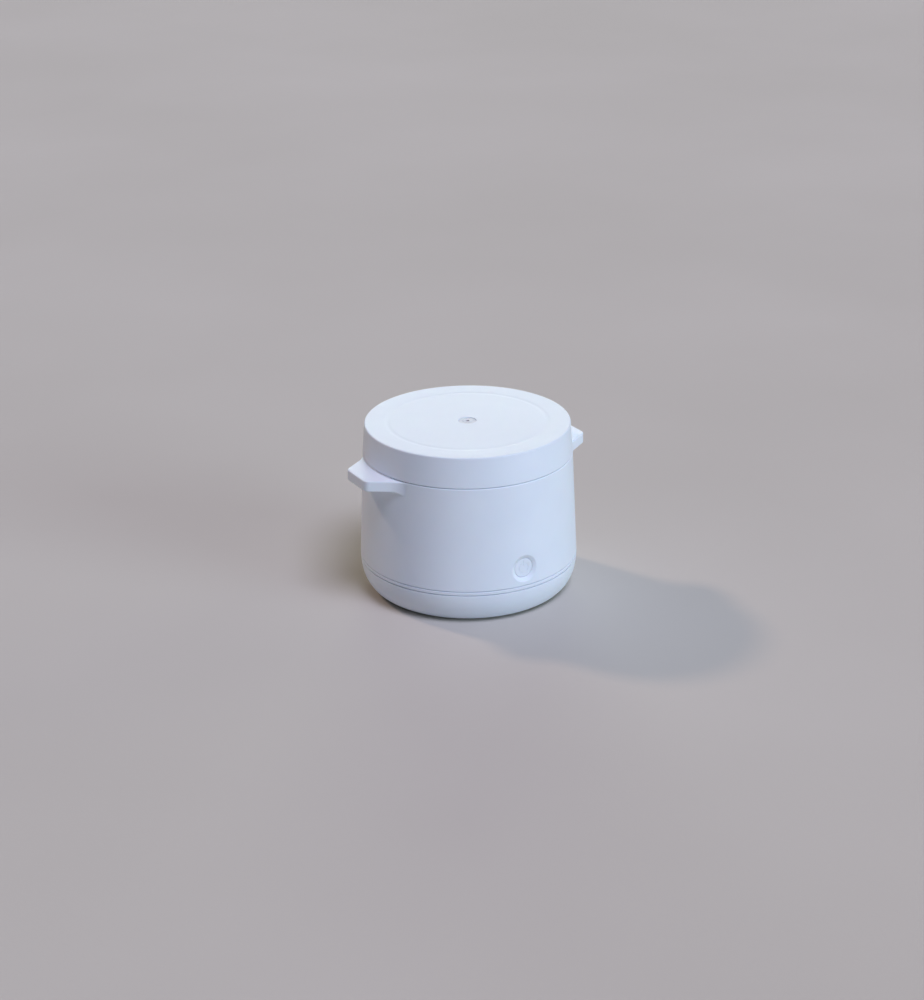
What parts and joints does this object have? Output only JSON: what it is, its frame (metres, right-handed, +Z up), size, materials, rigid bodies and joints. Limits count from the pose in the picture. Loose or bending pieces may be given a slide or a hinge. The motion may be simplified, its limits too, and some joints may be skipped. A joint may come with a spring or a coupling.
{
  "type": "baby food warmer",
  "caption": "Round cordless food warmer: tapered pot with two flat ears and a recessed button, lift-off vented lid, steel food bowl in a heated well, cells and charging inlet in the base.",
  "frame": {"origin": "centre of the base, on the surface that the warmer stands on", "axes": "+Z up; the button faces -Y, the charging inlet +Y, and the two ears lie along +X and -X"},
  "size_m": [0.1432, 0.1238, 0.0984],
  "materials": {
    "shell": "fine satin moulded white",
    "inner_plastic": "smooth moulded white",
    "silicone": "milky matte silicone",
    "bowl_steel": "brushed in circles, bright rim",
    "plate_aluminium": "turned",
    "zinc_steel": "zinc plated",
    "nickel": "nickel strip",
    "cell": "plastic sleeve over a metal can",
    "film": "amber film over etched foil",
    "felt": "needled insulation",
    "circuit_board": "green solder mask",
    "grey_plastic": "moulded grey",
    "dark_rubber": "matte dark grey"
  },
  "bodies": {
    "housing": {"body_shell": "shell", "trim_ring": "shell", "base_shell": "shell", "well_liner": "inner_plastic", "well_sleeve": "felt", "well_seal": "silicone", "heater_plate": "plate_aluminium", "heater_film": "film", "heater_felt": "felt", "heater_bracket": "zinc_steel", "temperature_sensor": "dark_rubber", "thermal_fuse": "plate_aluminium", "sensor_lead": "dark_rubber", "heater_lead_1": "dark_rubber", "heater_lead_2": "dark_rubber", "control_board": "circuit_board", "battery_cradle": "grey_plastic", "cell_1": "cell", "cell_2": "cell", "cell_3": "cell", "cell_tab_1": "nickel", "cell_tab_2": "nickel", "button_switch": "grey_plastic", "button_board": "circuit_board", "button_ribbon": "dark_rubber", "charging_socket": "zinc_steel", "socket_board": "circuit_board", "socket_ribbon": "dark_rubber", "foot_1": "dark_rubber", "foot_2": "dark_rubber", "foot_3": "dark_rubber", "foot_4": "dark_rubber", "base_screw_1": "zinc_steel", "base_screw_2": "zinc_steel", "base_screw_3": "zinc_steel", "base_screw_4": "zinc_steel", "bracket_screw_1": "zinc_steel", "bracket_screw_2": "zinc_steel", "bracket_screw_3": "zinc_steel", "board_screw_1": "zinc_steel", "board_screw_2": "zinc_steel", "board_screw_3": "zinc_steel", "board_screw_4": "zinc_steel", "cradle_screw_1": "zinc_steel", "cradle_screw_2": "zinc_steel"},
    "bowl": {"food_bowl": "bowl_steel"},
    "lid": {"lid_shell": "shell", "lid_liner": "inner_plastic", "lid_gasket": "silicone", "vent_plug": "silicone"},
    "button": {"button_cap": "shell"},
    "flap": {"port_cover": "silicone"}
  },
  "joints": [
    {"name": "bowl_lift", "type": "slide", "parent": "housing", "child": "bowl", "axis": [0, 0, 1], "range_m": [0, 0.06]},
    {"name": "lid_lift", "type": "slide", "parent": "bowl", "child": "lid", "axis": [0, 0, 1], "range_m": [0, 0.04]},
    {"name": "button_press", "type": "slide", "parent": "housing", "child": "button", "axis": [0, 1, 0], "range_m": [0, 0.0006], "stiffness_N_per_m": 1500, "springref_m": -0.0003},
    {"name": "port_flap", "type": "hinge", "parent": "housing", "child": "flap", "pos_m": [0, 0.06003, 0.02715], "axis": [-1, 0, 0], "range_deg": [0, 90]}
  ]
}
